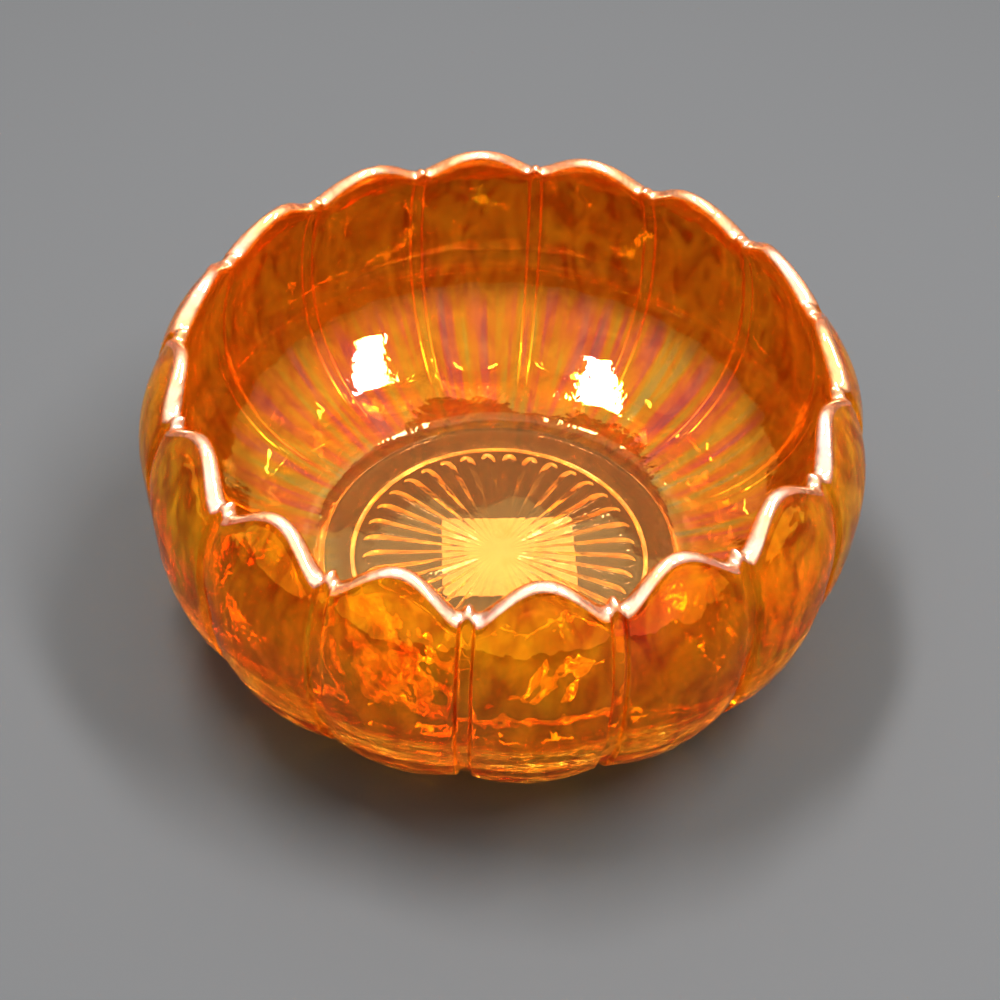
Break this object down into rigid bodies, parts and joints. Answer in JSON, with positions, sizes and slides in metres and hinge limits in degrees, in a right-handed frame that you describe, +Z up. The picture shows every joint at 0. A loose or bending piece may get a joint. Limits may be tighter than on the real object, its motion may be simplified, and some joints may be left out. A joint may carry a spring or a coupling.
{
  "type": "glass bowl",
  "caption": "Round footed pressed-glass bowl with convex petals, a scalloped rim with small knobs, an orange lustre and a rayed base with a paper label under it.",
  "frame": {"origin": "on the bowl's axis, in the plane of the foot's underside", "axes": "+Z up along the bowl's axis; -Y through the middle of a petal, which is the front"},
  "size_m": [0.216, 0.216, 0.0955],
  "materials": {
    "lustre_glass": "glossy marigold lustre with pink and purple iridescence, clear under the base",
    "label_paper": "matt cream paper"
  },
  "bodies": {
    "root": {"glass_bowl": "lustre_glass", "paper_label": "label_paper"}
  },
  "joints": []
}
